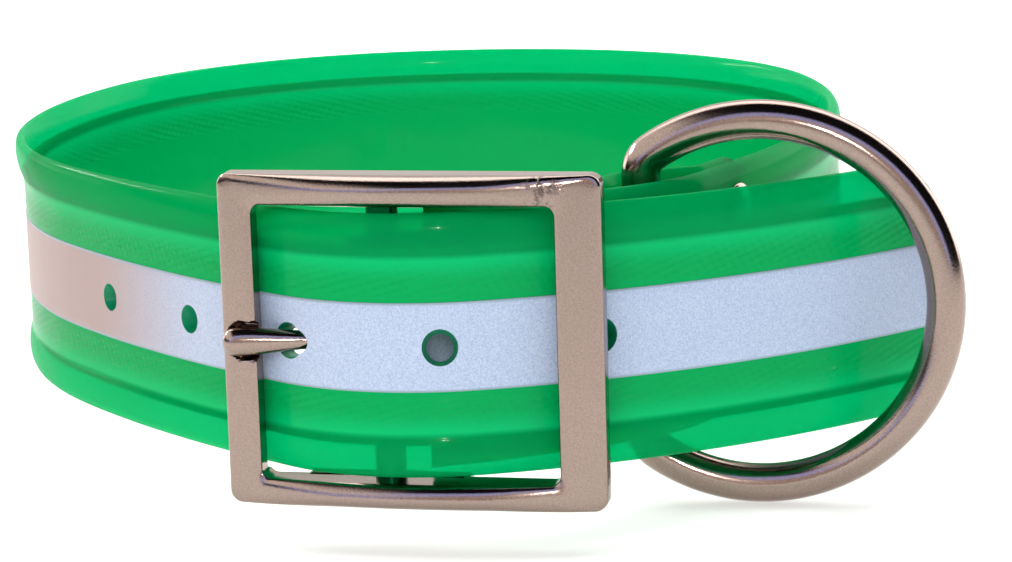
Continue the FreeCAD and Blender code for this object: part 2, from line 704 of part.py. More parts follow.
def make_d_ring():
    """The welded wire ring: a straight bar in the fold and a round bow in front."""
    place = Placement(ring_axis + Vector(0, 0, size("strap_lift") + middle_high),
                      Rotation(Vector(0, 0, 1), -size("ring_swing")))
    body = new_body("d_ring", place)
    bow, offset, corner = (size("ring_bow_radius"), size("ring_bow_offset"),
                           size("ring_corner_radius"))
    bow_centre = Vector(offset, 0, 0)
    bar_half = math.sqrt((bow - corner) ** 2 - (offset - corner) ** 2)
    top_corner = Vector(corner, bar_half, 0)
    outward = (top_corner - bow_centre).normalize()
    top_touch = bow_centre + outward * bow
    middle_way = (outward + Vector(-1, 0, 0)).normalize()
    top_middle = top_corner + middle_way * corner

    def mirrored(point):
        return Vector(point.x, -point.y, 0)

    top_start = Vector(0, bar_half, 0)
    outline = [Part.LineSegment(mirrored(top_start), top_start),
               Part.Arc(top_start, top_middle, top_touch),
               Part.Arc(top_touch, Vector(offset + bow, 0, 0), mirrored(top_touch)),
               Part.Arc(mirrored(top_touch), mirrored(top_middle), mirrored(top_start))]
    spine = sketch(body, "ring_path", "XZ_Plane", outline)
    section = sketch(body, "wire_section", "XY_Plane",
                     [Part.Circle(Vector(), Vector(0, 0, 1), size("ring_wire_radius"))],
                     lifted(-bar_half))
    ring = body.newObject("PartDesign::AdditivePipe", "ring")
    ring.Profile = section
    ring.Spine = spine


# ---------------------------------------------------------------- rivets

def rivet_placement(name):
    """Local Z points out of the strap, and its zero is on the outer face."""
    spot, heading, high = RIVETS[name]
    return Placement(Vector(spot.x, spot.y, size("strap_lift") + high),
                     Rotation(Vector(0, 0, 1), left_of(heading)))


def turned(body, name, outline):
    """A solid of revolution about local Z, from half a section in the XZ plane."""
    half = sketch(body, name + "_section", "XZ_Plane", outline)
    feature = body.newObject("PartDesign::Revolution", name)
    feature.Profile = half
    feature.ReferenceAxis = (half, ["V_Axis"])
    feature.Angle = 360
    return feature


def domed_section(radius, rim, high):
    """Half of a domed disc on the line y = 0: its rim and crown, from the rim to the axis."""
    crown = high - rim
    sphere = (radius ** 2 + crown ** 2) / (2 * crown)
    angle = math.asin(radius / sphere) / 2
    middle = Vector(sphere * math.sin(angle), high - sphere * (1 - math.cos(angle)), 0)
    return [Part.LineSegment(Vector(radius, 0, 0), Vector(radius, rim, 0)),
            Part.Arc(Vector(radius, rim, 0), middle, Vector(0, high, 0))]


def make_rivet_post(name):
    """Rivet head on the outer face, with the shank through both layers."""
    body = new_body("rivet_post_" + name, rivet_placement(name))
    through = 2 * strap_thick + size("layer_gap") + size("rivet_socket_deep")
    shank, head = size("rivet_shank_radius"), size("rivet_head_radius")
    outline = domed_section(head, size("rivet_rim_high"), size("rivet_head_high"))
    outline += [Part.LineSegment(Vector(0, size("rivet_head_high"), 0), Vector(0, -through, 0)),
                Part.LineSegment(Vector(0, -through, 0), Vector(shank, -through, 0)),
                Part.LineSegment(Vector(shank, -through, 0), Vector(shank, 0, 0)),
                Part.LineSegment(Vector(shank, 0, 0), Vector(head, 0, 0))]
    turned(body, "post", outline)


def make_rivet_cap(name):
    """Cap pressed on the end of the shank, on the neck side."""
    body = new_body("rivet_cap_" + name, rivet_placement(name))
    face = -(2 * strap_thick + size("layer_gap"))
    socket = size("rivet_socket_deep")
    shank, cap, high = size("rivet_shank_radius"), size("rivet_cap_radius"), size("rivet_cap_high")

    def below(edge):
        edge.mirror(Vector(0, 0, 0), Vector(1, 0, 0))
        edge.translate(Vector(0, face, 0))
        return edge

    outline = [below(edge) for edge in domed_section(cap, size("rivet_rim_high"), high)]
    outline += [Part.LineSegment(Vector(0, face - high, 0), Vector(0, face - socket, 0)),
                Part.LineSegment(Vector(0, face - socket, 0), Vector(shank, face - socket, 0)),
                Part.LineSegment(Vector(shank, face - socket, 0), Vector(shank, face, 0)),
                Part.LineSegment(Vector(shank, face, 0), Vector(cap, face, 0))]
    turned(body, "cap", outline)


# ---------------------------------------------------------------- build and write

make_strap_coating()
make_webbing_core()
make_reflective_stripe()
make_buckle_frame()
make_buckle_tongue()
make_d_ring()
for rivet_name in RIVETS:
    make_rivet_post(rivet_name)
    make_rivet_cap(rivet_name)

document.recompute()
for item in document.Objects:
    if "Invalid" in item.State or "Error" in item.State:
        raise RuntimeError("%s did not recompute: %s" % (item.Label, item.State))
for body in parts:
    if body.Shape.isNull() or not body.Shape.isValid() or len(body.Shape.Solids) != 1:
        raise RuntimeError("%s is not one valid solid" % body.Label)

os.makedirs("parts", exist_ok=True)
whole = FreeCAD.BoundBox()
for body in parts:
    body.Shape.exportStep("parts/%s.step" % body.Label)
    whole.add(body.Shape.BoundBox)
    print("%-28s %9.1f mm3" % (body.Label, body.Shape.Volume))
print("box x %.2f..%.2f  y %.2f..%.2f  z %.2f..%.2f"
      % (whole.XMin, whole.XMax, whole.YMin, whole.YMax, whole.ZMin, whole.ZMax))
print("strap length %.1f, bar axis (%.2f, %.2f), ring axis (%.2f, %.2f)"
      % (length_of(strap_path), bar_axis.x, bar_axis.y, ring_axis.x, ring_axis.y))
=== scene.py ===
import json
import math

import bmesh
import bpy
import numpy as np
from mathutils import Matrix, Vector


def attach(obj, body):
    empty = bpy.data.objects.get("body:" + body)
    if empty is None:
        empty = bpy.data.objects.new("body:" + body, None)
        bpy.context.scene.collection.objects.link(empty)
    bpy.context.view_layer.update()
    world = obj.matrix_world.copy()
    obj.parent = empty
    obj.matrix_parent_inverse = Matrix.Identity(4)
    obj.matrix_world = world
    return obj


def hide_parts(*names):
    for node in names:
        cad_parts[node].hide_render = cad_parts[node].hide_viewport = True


# A coated-webbing dog collar, buckled and standing on the edge of its strap.
# Lengths in this file are millimetres in the row's frame; meshes are scaled to metres.

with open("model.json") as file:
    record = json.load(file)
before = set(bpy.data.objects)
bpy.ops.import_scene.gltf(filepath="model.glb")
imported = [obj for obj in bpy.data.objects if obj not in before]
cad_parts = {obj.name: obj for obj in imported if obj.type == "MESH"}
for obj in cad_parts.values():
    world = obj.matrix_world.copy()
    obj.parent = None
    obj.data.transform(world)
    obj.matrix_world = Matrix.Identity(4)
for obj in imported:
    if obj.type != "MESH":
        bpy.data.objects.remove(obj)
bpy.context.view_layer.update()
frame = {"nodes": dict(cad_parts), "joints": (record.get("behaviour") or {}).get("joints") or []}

MM = 0.001


def joint_place(name):
    """Where a joint's axis stands, in millimetres."""
    joint = [item for item in frame["joints"] if item["name"] == name][0]
    return np.array(joint["pos_m"]) / MM


bar_place = joint_place("frame_rock")
ring_place = joint_place("ring_swing")
MID_Z = bar_place[2]

# ---------------------------------------------------------------- camera

SENSOR = 36.0
IMAGE_WIDTH = 1012
FOCAL_PIXELS = 3200
camera_data = bpy.data.cameras.new("view")
camera_data.sensor_width = SENSOR
camera_data.lens = SENSOR * FOCAL_PIXELS / IMAGE_WIDTH
camera_data.clip_start = 0.01
camera_data.clip_end = 20.0
camera = bpy.data.objects.new("view", camera_data)
bpy.context.scene.collection.objects.link(camera)
pitch, roll = 0.19651, -0.030621
camera.matrix_world = (Matrix.Translation((0.006826, -0.53045, 0.12691))
                       @ Matrix.Rotation(math.pi / 2 - pitch, 4, "X")
                       @ Matrix.Rotation(roll, 4, "Z"))
bpy.context.scene.camera = camera

# ---------------------------------------------------------------- strap route, seen from above

HALF_THICK = 1.5
HALF_WIDTH = 19.05
LAYER_GAP = 0.05
TIP = (72.09, -54.782)
TIP_HEADING = 222.415
# (radius, clockwise turn in degrees), or (0, length) for a straight run
ROUTE = (
    (149.0, 19.915), (122.0, 13.1), (31.0, 54.1), (227.0, 14.4), (88.0, 32.4), (120.5, 22.0),
    (60.7, 58.1), (75.6, 30.8), (62.1, 55.5), (112.5, 24.6), (152.5, 18.2), (0, 9.0), (0, 4.6),
    (27.4, 27.5), (82.7, 8.7), (0, 10.0), (55.6, 18.1),
)
FAR_RUN, NEAR_RUN = 11, 15
FIRST_HOLE, HOLE_PITCH, HOLE_COUNT, TONGUE_HOLE = 61.45, 22.85, 5, 2
BAR_RADIUS = 2.3
FOLD_GAP = 0.35
RING_WIRE = 2.9
RING_GAP = 1.0
RING_ALONG = 8.6
RING_TURN = 9.0
RING_REACH = RING_WIRE + RING_GAP + HALF_THICK
FOLD_RADIUS = BAR_RADIUS + FOLD_GAP + HALF_THICK
TAIL_CORNER = 3.2
TAIL_BEYOND = 2.5
FRAME_YAW = 12.5


def heading_vector(degrees):
    return np.array((math.cos(math.radians(degrees)), math.sin(math.radians(degrees))))


def left_of(degrees):
    return heading_vector(degrees + 90)


def piece(start, heading, radius, amount):
    """One piece of the route: a bend, or a straight run if the radius is nought."""
    if not radius:
        return {"start": start, "from": heading, "turn": 0.0, "radius": 0.0, "length": amount,
                "end": start + heading_vector(heading) * amount, "to": heading}
    side = 1 if amount > 0 else -1
    centre = start - left_of(heading) * radius * side
    return {"start": start, "from": heading, "turn": amount, "radius": radius * side,
            "centre": centre, "length": radius * math.radians(abs(amount)),
            "end": centre + left_of(heading - amount) * radius * side, "to": heading - amount}


def place_on(path, distance):
    """Point and heading at a distance along a path."""
    for item in path:
        if distance <= item["length"] or item is path[-1]:
            break
        distance -= item["length"]
    if not item["turn"]:
        return item["start"] + heading_vector(item["from"]) * distance, item["from"]
    heading = item["from"] - item["turn"] * distance / item["length"]
    return item["centre"] + left_of(heading) * item["radius"], heading


def heading_to(a, b):
    return math.degrees(math.atan2(b[1] - a[1], b[0] - a[0]))


def touching(point, centre, radius, side):
    """Heading from a point that just touches a circle."""
    reach = np.linalg.norm(centre - point)
    return heading_to(point, centre) + side * math.degrees(math.asin(radius / reach))


def crossing(a, heading_a, b, heading_b):
    """Where two lines cross, each given by a point and a heading."""
    u, v = heading_vector(heading_a), heading_vector(heading_b)
    along = ((b[0] - a[0]) * v[1] - (b[1] - a[1]) * v[0]) / (u[0] * v[1] - u[1] * v[0])
    return a + u * along


def strap_route():
    """The whole strap: free end, loop, straight runs, fold round the bar, and tail."""
    path = []
    start, heading = np.array(TIP), TIP_HEADING
    for radius, amount in ROUTE:
        path.append(piece(start, heading, radius, amount))
        start, heading = path[-1]["end"], path[-1]["to"]
    bar = start - left_of(heading) * FOLD_RADIUS
    far, near = path[FAR_RUN], path[NEAR_RUN]
    ring_at = sum(item["length"] for item in path[:FAR_RUN + 2]) + RING_ALONG
    point, ring_heading = place_on(path, ring_at)
    ring = point - left_of(ring_heading) * RING_REACH

    step = 2 * HALF_THICK + LAYER_GAP
    near_in = near["end"] - left_of(near["from"]) * step
    near_out = near["start"] - left_of(near["from"]) * step
    far_in = far["end"] - left_of(far["from"]) * step
    far_out = far["start"] - left_of(far["from"]) * step
    last = far_out - heading_vector(far["from"]) * TAIL_BEYOND
    bulge = crossing(near_out, touching(near_out, ring, RING_REACH, 1),
                     far_in, touching(far_in, ring, RING_REACH, -1))
    leave = heading_to(bar, near_in) - math.degrees(
        math.asin(FOLD_RADIUS / np.linalg.norm(near_in - bar)))
    path.append(piece(start, heading, FOLD_RADIUS, (heading - leave) % 360))

    corners = (near_in, near_out, bulge, far_in, last)
    start = path[-1]["end"]
    for corner, following, radius in zip(corners, corners[1:],
                                         (TAIL_CORNER, TAIL_CORNER, RING_REACH, TAIL_CORNER)):
        before, after = heading_to(start, corner), heading_to(corner, following)
        turn = (before - after + 180) % 360 - 180
        setback = radius * math.tan(math.radians(abs(turn) / 2))
        path.append(piece(start, before, 0, np.linalg.norm(corner - start) - setback))
        path.append(piece(path[-1]["end"], before, radius, turn))
        start = path[-1]["end"]
    path.append(piece(start, heading_to(start, last), 0, np.linalg.norm(last - start)))
    return path


route = strap_route()
ROUTE_LENGTH = sum(item["length"] for item in route)

# ---------------------------------------------------------------- meshes from grids of points


def smooth(low, high, value):
    """0 below low, 1 above high, and a smooth rise between them."""
    t = np.clip((np.asarray(value, float) - low) / (high - low), 0, 1)
    return t * t * (3 - 2 * t)


def grid_faces(rows, columns, closed_rows):
    """Quads of a grid whose columns close on themselves."""
    i = np.arange(rows if closed_rows else rows - 1)[:, None]
    j = np.arange(columns)[None, :]
    a, b = i * columns + j, i * columns + (j + 1) % columns
    up = (i + 1) % rows * columns
    return np.stack([a, b, up + (j + 1) % columns, up + j], -1).reshape(-1, 4).tolist()


def grid_part(points, closed_rows=False):
    """Vertices and faces of a swept grid; open ends get a flat cap."""
    rows, columns = points.shape[:2]
    vertices = points.reshape(-1, 3).tolist()
    faces = grid_faces(rows, columns, closed_rows)
    if not closed_rows:
        for row, flip in ((0, True), (rows - 1, False)):
            ring = [row * columns + j for j in range(columns)]
            faces.append(ring[::-1] if flip else ring)
    return vertices, faces


def make_object(name, pieces, place=None):
    """One mesh object, in metres, from (vertices, faces) pieces in millimetres."""
    vertices, faces = [], []
    for some_vertices, some_faces in pieces:
        base = len(vertices)
        vertices += [tuple(v) for v in some_vertices]
        faces += [[base + index for index in face] for face in some_faces]
    mesh = bpy.data.meshes.new(name)
    mesh.from_pydata(vertices, [], faces)
    if place is not None:
        mesh.transform(place)
    mesh.transform(Matrix.Scale(MM, 4))
    work = bmesh.new()
    work.from_mesh(mesh)
    bmesh.ops.recalc_face_normals(work, faces=work.faces)
    work.to_mesh(mesh)
    work.free()
    obj = bpy.data.objects.new(name, mesh)
    bpy.context.scene.collection.objects.link(obj)
    return obj


def shade(obj, angle=40):
    """Smooth shading, with edges sharper than an angle left hard."""
    mesh = obj.data
    mesh.polygons.foreach_set("use_smooth", [True] * len(mesh.polygons))
    mesh.set_sharp_from_angle(angle=math.radians(angle))


def carve(obj, cutter):
    """Cut one closed mesh with another, and drop the cutter."""
    modifier = obj.modifiers.new("cut", "BOOLEAN")
    modifier.operation = "DIFFERENCE"
    modifier.solver = "MANIFOLD"
    modifier.object = cutter
    graph = bpy.context.evaluated_depsgraph_get()
    mesh = bpy.data.meshes.new_from_object(obj.evaluated_get(graph))
    obj.modifiers.clear()
    before = len(obj.data.polygons)
    obj.data = mesh
    mesh.name = obj.name
    bpy.data.objects.remove(cutter)
    if len(mesh.polygons) == before:
        raise RuntimeError(obj.name + " was not cut")


def frustum(centre, axis, low, high, radius_low, radius_high, sides=48):
    """A closed cone or cylinder along an axis, between two distances from a centre."""
    axis = np.array(axis, float) / np.linalg.norm(axis)
    side = np.cross(axis, (0, 0, 1))
    side /= np.linalg.norm(side)
    other = np.cross(axis, side)
    angle = np.linspace(0, 2 * math.pi, sides, endpoint=False)
    round_way = np.outer(np.cos(angle), side) + np.outer(np.sin(angle), other)
    rows = [np.array(centre) + axis * low + round_way * radius_low,
            np.array(centre) + axis * high + round_way * radius_high]
    return grid_part(np.array(rows))


def prism(outline, low, high):
    """A closed upright prism over a plane outline."""
    rows = [[(x, y, z) for x, y in outline] for z in (low, high)]
    return grid_part(np.array(rows, float))


def revolve(section, sides=64):
    """A closed solid of revolution about Z; the section runs from the axis to the axis."""
    angle = np.linspace(0, 2 * math.pi, sides, endpoint=False)
    vertices = [(0, 0, section[0][1])]
    rows = section[1:-1]
    for radius, z in rows:
        vertices += [(radius * math.cos(a), radius * math.sin(a), z) for a in angle]
    vertices.append((0, 0, section[-1][1]))
    faces = [[0, 1 + j, 1 + (j + 1) % sides] for j in range(sides)]
    last = len(vertices) - 1
    top = 1 + (len(rows) - 1) * sides
    faces += [[last, top + (j + 1) % sides, top + j] for j in range(sides)]
    faces += [[1 + index for index in face] for face in grid_faces(len(rows), sides, False)]
    return vertices, faces


# ---------------------------------------------------------------- strap

STRIPE_HALF = 6.45
WEB_HALF = 1.08
BEAD_MIDDLE, BEAD_REACH = 15.4, 3.65
RECESS = 0.22
STATION_STEP, TIGHT_STEP, TIGHT_RADIUS = 1.25, 0.35, 10
CURL_UPPER, CURL_LOWER = 1.2, 0.35
HOLE_DROP, HOLE_LEAN = 0.4, 0.2
TIP_CORNER, TAIL_END_CORNER = 12.5, 3.0
SLOT_HALF, SLOT_REACH = 3.1, 5.4
TRIM_FROM, TRIM_REACH = 14.05, 6.0


def stations(margin=0.0):
    """Distances along the route, closer together where it bends tightly."""
    marks = [margin]
    start = 0.0
    for item in route:
        tight = item["turn"] and abs(item["radius"]) < TIGHT_RADIUS
        count = max(1, math.ceil(item["length"] / (TIGHT_STEP if tight else STATION_STEP)))
        marks += [start + item["length"] * k / count for k in range(1, count + 1)]
        start += item["length"]
    marks = [mark for mark in marks if margin <= mark < ROUTE_LENGTH - margin - 0.1]
    return marks + [ROUTE_LENGTH - margin]


def curl(distance):
    """How strongly the edges curl outwards: along the free left side."""
    return smooth(115, 170, distance) * (1 - smooth(225, 310, distance))


def bowed(distance, high):
    """Outward shift of the strap at a height above or below its middle."""
    reach = np.clip((np.abs(high) - 9.5) / 9, 0, 1) ** 1.6
    return curl(distance) * reach * np.where(high > 0, CURL_UPPER, CURL_LOWER)


def half_thickness(high):
    """Half the strap's thickness at a height: thin web, thick round edges."""
    away = np.abs(high)
    across = np.clip((away - BEAD_MIDDLE) / BEAD_REACH, -1, 1)
    bead = HALF_THICK * np.sqrt(1 - across ** 2)
    web = np.where(away < BEAD_MIDDLE, WEB_HALF, 0.0)
    return np.maximum(bead, web)


def strap_point(distance, high, out):
    """A point of the strap from its place along, its height and its shift outwards."""
    point, heading = place_on(route, distance)
    side = left_of(heading)
    out = out + bowed(distance, high)
    return np.stack([point[0] + side[0] * out, point[1] + side[1] * out, MID_Z + high], -1)


def section_heights():
    """Sample heights across the strap: close together on the round edges."""
    middle = [0.0, 1.6, 3.2, 4.8, 6.0, STRIPE_HALF - 0.06, STRIPE_HALF + 0.02, 6.9, 7.7, 8.5,
              9.5, 10.6, 11.6, 12.4]
    start = math.pi - math.asin(WEB_HALF / HALF_THICK)
    edge = [BEAD_MIDDLE + BEAD_REACH * math.cos(start * (1 - k / 20)) for k in range(21)]
    half = middle + edge
    return np.array([-h for h in reversed(half[1:])] + half)


def lay_route(obj, marks, loop_highs):
    """UV of a swept strip: distance along and height across, in metres."""
    layer = obj.data.uv_layers.new(name="route")
    columns = len(loop_highs)
    index = np.zeros(len(obj.data.loops), int)
    obj.data.loops.foreach_get("vertex_index", index)
    along = np.array(marks)[index // columns]
    across = loop_highs[index % columns]
    layer.data.foreach_set("uv", np.stack([along, across], -1).ravel() * MM)


def strap_mesh():
    """The coating: the section swept along the route, with a recess for the tape."""
    highs = section_heights()
    thick = half_thickness(highs)
    recess = np.where(np.abs(highs) < STRIPE_HALF, RECESS, 0.0)
    marks = stations()
    loop_highs = np.concatenate([highs, highs[-2:0:-1]])
    outs = np.concatenate([thick - recess, -thick[-2:0:-1]])
    rows = np.array([strap_point(mark, loop_highs, outs) for mark in marks])
    obj = make_object("coated_strap", [grid_part(rows)])
    lay_route(obj, marks, loop_highs)
    return obj


def stripe_mesh():
    """The tape in its recess, standing slightly proud of the web."""
    highs = np.array([-6.43, -6.3, -5, -3.4, -1.7, 0, 1.7, 3.4, 5, 6.3, 6.43])
    lift = WEB_HALF + np.where(np.abs(highs) > 6.35, 0.02, 0.1)
    marks = stations(0.02)
    loop_highs = np.concatenate([highs, highs[::-1]])
    outs = np.concatenate([lift, np.full(len(highs), WEB_HALF - RECESS + 0.01)])
    rows = np.array([strap_point(mark, loop_highs, outs) for mark in marks])
    obj = make_object("reflective_tape", [grid_part(rows)])
    lay_route(obj, marks, loop_highs)
    return obj


def hole_cutters():
    """The five adjusting holes: wider outside, and leaning a little downwards inwards."""
    pieces = []
    for number in range(HOLE_COUNT):
        point, heading = place_on(route, FIRST_HOLE + number * HOLE_PITCH)
        side = left_of(heading)
        centre = (point[0], point[1], MID_Z - HOLE_DROP)
        axis = (side[0], side[1], HOLE_LEAN)
        wide, narrow = (2.95, 1.65) if number <= TONGUE_HOLE else (2.6, 0.6)
        pieces.append(frustum(centre, axis, -2.2, 2.4, narrow, wide))
    return pieces


def fold_outline(reach):
    """Plan of the place where the strap folds, clear of the free end in front of it."""
    x, y = bar_place[0], bar_place[1]
    clear = y - FOLD_RADIUS - HALF_THICK - 0.15
    left = x - FOLD_RADIUS - HALF_THICK - 1.0
    return [(left, clear + 2.6), (x - 2.6, clear), (x + reach, clear), (x + reach, y + 8),
            (left, y + 8)]


def tongue_way():
    """The slanting way of the tongue through the strap, narrower towards its outer end."""
    start, along = local_to_row(WIRE_START), turn_to_row(WIRE_HEADING)
    hole, _ = place_on(route, FIRST_HOLE + TONGUE_HOLE * HOLE_PITCH)
    nearest = start + along * np.dot(hole - start[:2], along[:2])
    return frustum(nearest, along, -9.0, 9.0, 2.6, 1.7)


def tip_corners(end_distance, backwards, radius):
    """Cutters for the two round corners at an end of the strap."""
    pieces = []
    point, heading = place_on(route, end_distance)
    along = heading_vector(heading) * (-1 if backwards else 1)
    side = left_of(heading)
    for up in (1, -1):
        arc = [math.pi / 2 * k / 12 for k in range(13)]
        outline = [(radius * (1 - math.sin(a)), HALF_WIDTH - radius * (1 - math.cos(a)))
                   for a in arc]
        outline += [(-1.0, HALF_WIDTH - radius), (-1.0, HALF_WIDTH + 1.45),
                    (radius, HALF_WIDTH + 1.45)]
        rows = [[(point[0] + along[0] * a + side[0] * w, point[1] + along[1] * a + side[1] * w,
                  MID_Z + up * high) for a, high in outline] for w in (-1.8, 1.52)]
        pieces.append(grid_part(np.array(rows)))
    return pieces


# ---------------------------------------------------------------- buckle, in its own axes

FRAME_LEFT, FRAME_RIGHT = -22.9, 32.7
HALF_HIGH, HALF_WINDOW = 24.15, 20.2
LEFT_BAR, RIGHT_BAR = 5.3, 6.5
STANDOFF, MID_THICK, END_THICK = 2.2, 7.0, 3.0
OUTER_CORNER, INNER_CORNER = 1.8, 1.5
WINDOW_DROP = 0.4
LUG_HALF, LUG_BACK = 12.2, 1.0
half_length = (FRAME_RIGHT - FRAME_LEFT) / 2
arch_rise = MID_THICK - END_THICK
ARCH_RADIUS = (half_length ** 2 + arch_rise ** 2) / (2 * arch_rise)
ARCH_CENTRE = np.array(((FRAME_RIGHT + FRAME_LEFT) / 2, ARCH_RADIUS - STANDOFF - MID_THICK, 0.0))
BUCKLE = (Matrix.Translation(Vector(bar_place))
          @ Matrix.Rotation(math.radians(-FRAME_YAW), 4, "Z"))


def local_to_row(point):
    return np.array(BUCKLE @ Vector(point))


def turn_to_row(direction):
    return np.array(BUCKLE.to_3x3() @ Vector(direction))


def arch_front(x):
    """Local Y of the arched front at a place along the frame."""
    return ARCH_CENTRE[1] - np.sqrt(ARCH_RADIUS ** 2 - (x - ARCH_CENTRE[0]) ** 2)


SEAT_DEEP, SEAT_HALF, SEAT_SLOPE, REST_GAP = 1.1, 2.7, 5.0, 0.35
TIP_THICK, TIP_WIDTH, TIP_SHORT = 3.2, 4.0, 0.5
SEAT_X = FRAME_LEFT + LEFT_BAR / 2
SEAT_FRONT = np.array((SEAT_X, arch_front(SEAT_X), 0.0))
seat_turn = Matrix.Rotation(math.radians(-SEAT_SLOPE), 3, "Z")
SEAT_OUT = np.array(seat_turn @ Vector((0, -1, 0)))
SEAT_ALONG = np.array(seat_turn @ Vector((-1, 0, 0)))
TIP_MIDDLE = SEAT_FRONT + SEAT_OUT * (REST_GAP - SEAT_DEEP + TIP_THICK / 2)
WIRE = 1.5
WIRE_BEND = 5.5
WIRE_REACH = 20.4
HALF_WIRE_WIDE, HALF_WIRE_DEEP = 1.32, 1.4
GROOVE = 1.85
BORE = BAR_RADIUS + 0.1
LOOP_OUTER = BORE + 1.5
WIRE_START = np.array((-0.6, WIRE - LOOP_OUTER, 0.0))
WIRE_CORNER = TIP_MIDDLE + SEAT_ALONG * ((-WIRE_REACH - TIP_MIDDLE[0]) / SEAT_ALONG[0])
WIRE_HEADING = (WIRE_CORNER - WIRE_START) / np.linalg.norm(WIRE_CORNER - WIRE_START)


def round_rectangle(left, right, half_high, radius, steps):
    """Points round a rectangle with round corners and the same number of steps on each side."""
    corners = ((right, half_high, 0), (left, half_high, 90), (left, -half_high, 180),
               (right, -half_high, 270))
    arcs = []
    for x, z, start in corners:
        middle_x = x - radius if x == right else x + radius
        middle_z = z - radius if z > 0 else z + radius
        angles = [math.radians(start + 90 * k / 16) for k in range(17)]
        arcs.append([(middle_x + radius * math.cos(a), middle_z + radius * math.sin(a))
                     for a in angles])
    points = []
    for arc, following in zip(arcs, arcs[1:] + arcs[:1]):
        points += arc
        (from_x, from_z), (to_x, to_z) = arc[-1], following[0]
        points += [(from_x + (to_x - from_x) * k / steps, from_z + (to_z - from_z) * k / steps)
                   for k in range(1, steps)]
    return np.array(points)


def frame_ring():
    """The arched rectangle: domed across its rails, flatter and boxier towards its ends."""
    steps = 150
    outer = round_rectangle(FRAME_LEFT, FRAME_RIGHT, HALF_HIGH, OUTER_CORNER, steps)
    inner = round_rectangle(FRAME_LEFT + LEFT_BAR, FRAME_RIGHT - RIGHT_BAR, HALF_WINDOW,
                            INNER_CORNER, steps)
    # The upper rail is a little deeper than the lower one.
    inner[:, 1] -= WINDOW_DROP * smooth(15, 18, inner[:, 1])
    # Across the rail: 0 at the outer side, 1 at the window.
    turn = np.linspace(0, math.pi, 25)
    across = (1 - np.cos(turn)) / 2
    columns = []
    for part, side in (("back", across[::-1]), ("front", across)):
        for a in side:
            place = outer * (1 - a) + inner * a
            x, z = place[:, 0], place[:, 1]
            depth = -STANDOFF - arch_front(x)
            ends = smooth(0.35, 1.0, np.abs(x - ARCH_CENTRE[0]) / half_length)
            shoulder_out = 0.52 + 0.22 * ends
            shoulder_in = 0.74 + 0.08 * ends
            crown = 0.46
            rise = np.where(a < crown, a / crown, (1 - a) / (1 - crown))
            power = 2.1 + 1.3 * ends
            dome = (1 - (1 - rise) ** power) ** (1 / power)
            low = np.where(a < crown, shoulder_out, shoulder_in)
            front = depth * (low + (1 - low) * dome)
            if part == "front":
                y = -STANDOFF - front
                seat = SEAT_FRONT[1] + (x - SEAT_FRONT[0]) * math.tan(math.radians(SEAT_SLOPE))
                seat = seat + SEAT_DEEP
                end_of_seat = FRAME_LEFT + 0.55 + SEAT_HALF
                aside = np.hypot(np.minimum(x - end_of_seat, 0), z)
                in_seat = (1 - smooth(SEAT_HALF - 0.3, SEAT_HALF + 0.2, aside)) * (x < 0)
                y = np.where(seat > y, y + (seat - y) * in_seat, y)
            else:
                bevel = np.zeros_like(x)
                upright = smooth(-0.3, 0.3, HALF_WINDOW - 0.8 - np.abs(z))
                for edge, sign in ((FRAME_LEFT + LEFT_BAR, 1), (FRAME_RIGHT - RIGHT_BAR, -1)):
                    near = 1 - np.clip((edge - x) * sign / 1.8, 0, None)
                    bevel = np.maximum(bevel, np.clip(near, 0, 1.2) * 1.1 * upright
                                       * (np.abs(x - edge) < 4))
                y = -STANDOFF - bevel
                y = np.maximum(y, -STANDOFF - front + 0.4)
            columns.append(np.stack([x, y, z], -1))
    rows = np.stack(columns, 1)
    return grid_part(rows, closed_rows=True)


def soft_box(left, right, back, front, low, high, radius):
    """A box with rounded upright and level edges, as a stack of round rectangles along Y."""
    rows = []
    for depth, inset in ((back, radius), (back - radius * 0.3, radius * 0.3),
                         (back - radius, 0.0), (front, 0.0)):
        middle = (low + high) / 2
        outline = round_rectangle(left + inset, right - inset, (high - low) / 2 - inset,
                                  max(radius - inset, 0.15), 12)
        rows.append([(x, depth, middle + z) for x, z in outline])
    return grid_part(np.array(rows))


def upright_rod(radius, low, high, sides=40):
    turns = [2 * math.pi * k / sides for k in range(sides)]
    return prism([(radius * math.cos(a), radius * math.sin(a)) for a in turns], low, high)


def make_frame():
    """The arched frame with its lugs and centre bar, and a groove for the wire."""
    pieces = [frame_ring()]
    for low, high in ((HALF_WINDOW, HALF_HIGH - 0.4), (0.4 - HALF_HIGH, -HALF_WINDOW)):
        pieces.append(soft_box(-LUG_HALF, LUG_HALF, LUG_BACK, -STANDOFF - 1, low, high,
                               0.8))
    angle = np.linspace(0, 2 * math.pi, 48, endpoint=False)
    rows = [[(BAR_RADIUS * math.cos(a), BAR_RADIUS * math.sin(a), z) for a in angle]
            for z in np.linspace(1.2 - HALF_HIGH, HALF_HIGH - 1.2, 24)]
    pieces.append(grid_part(np.array(rows)))
    cast = make_object("cast_frame", pieces, BUCKLE)
    # The groove at the inner edge of the seat, where the wire dives into the strap.
    groove = frustum(WIRE_CORNER, WIRE_HEADING, -7.0, 1.0, GROOVE, GROOVE)
    carve(cast, make_object("groove", [groove], BUCKLE))
    return cast


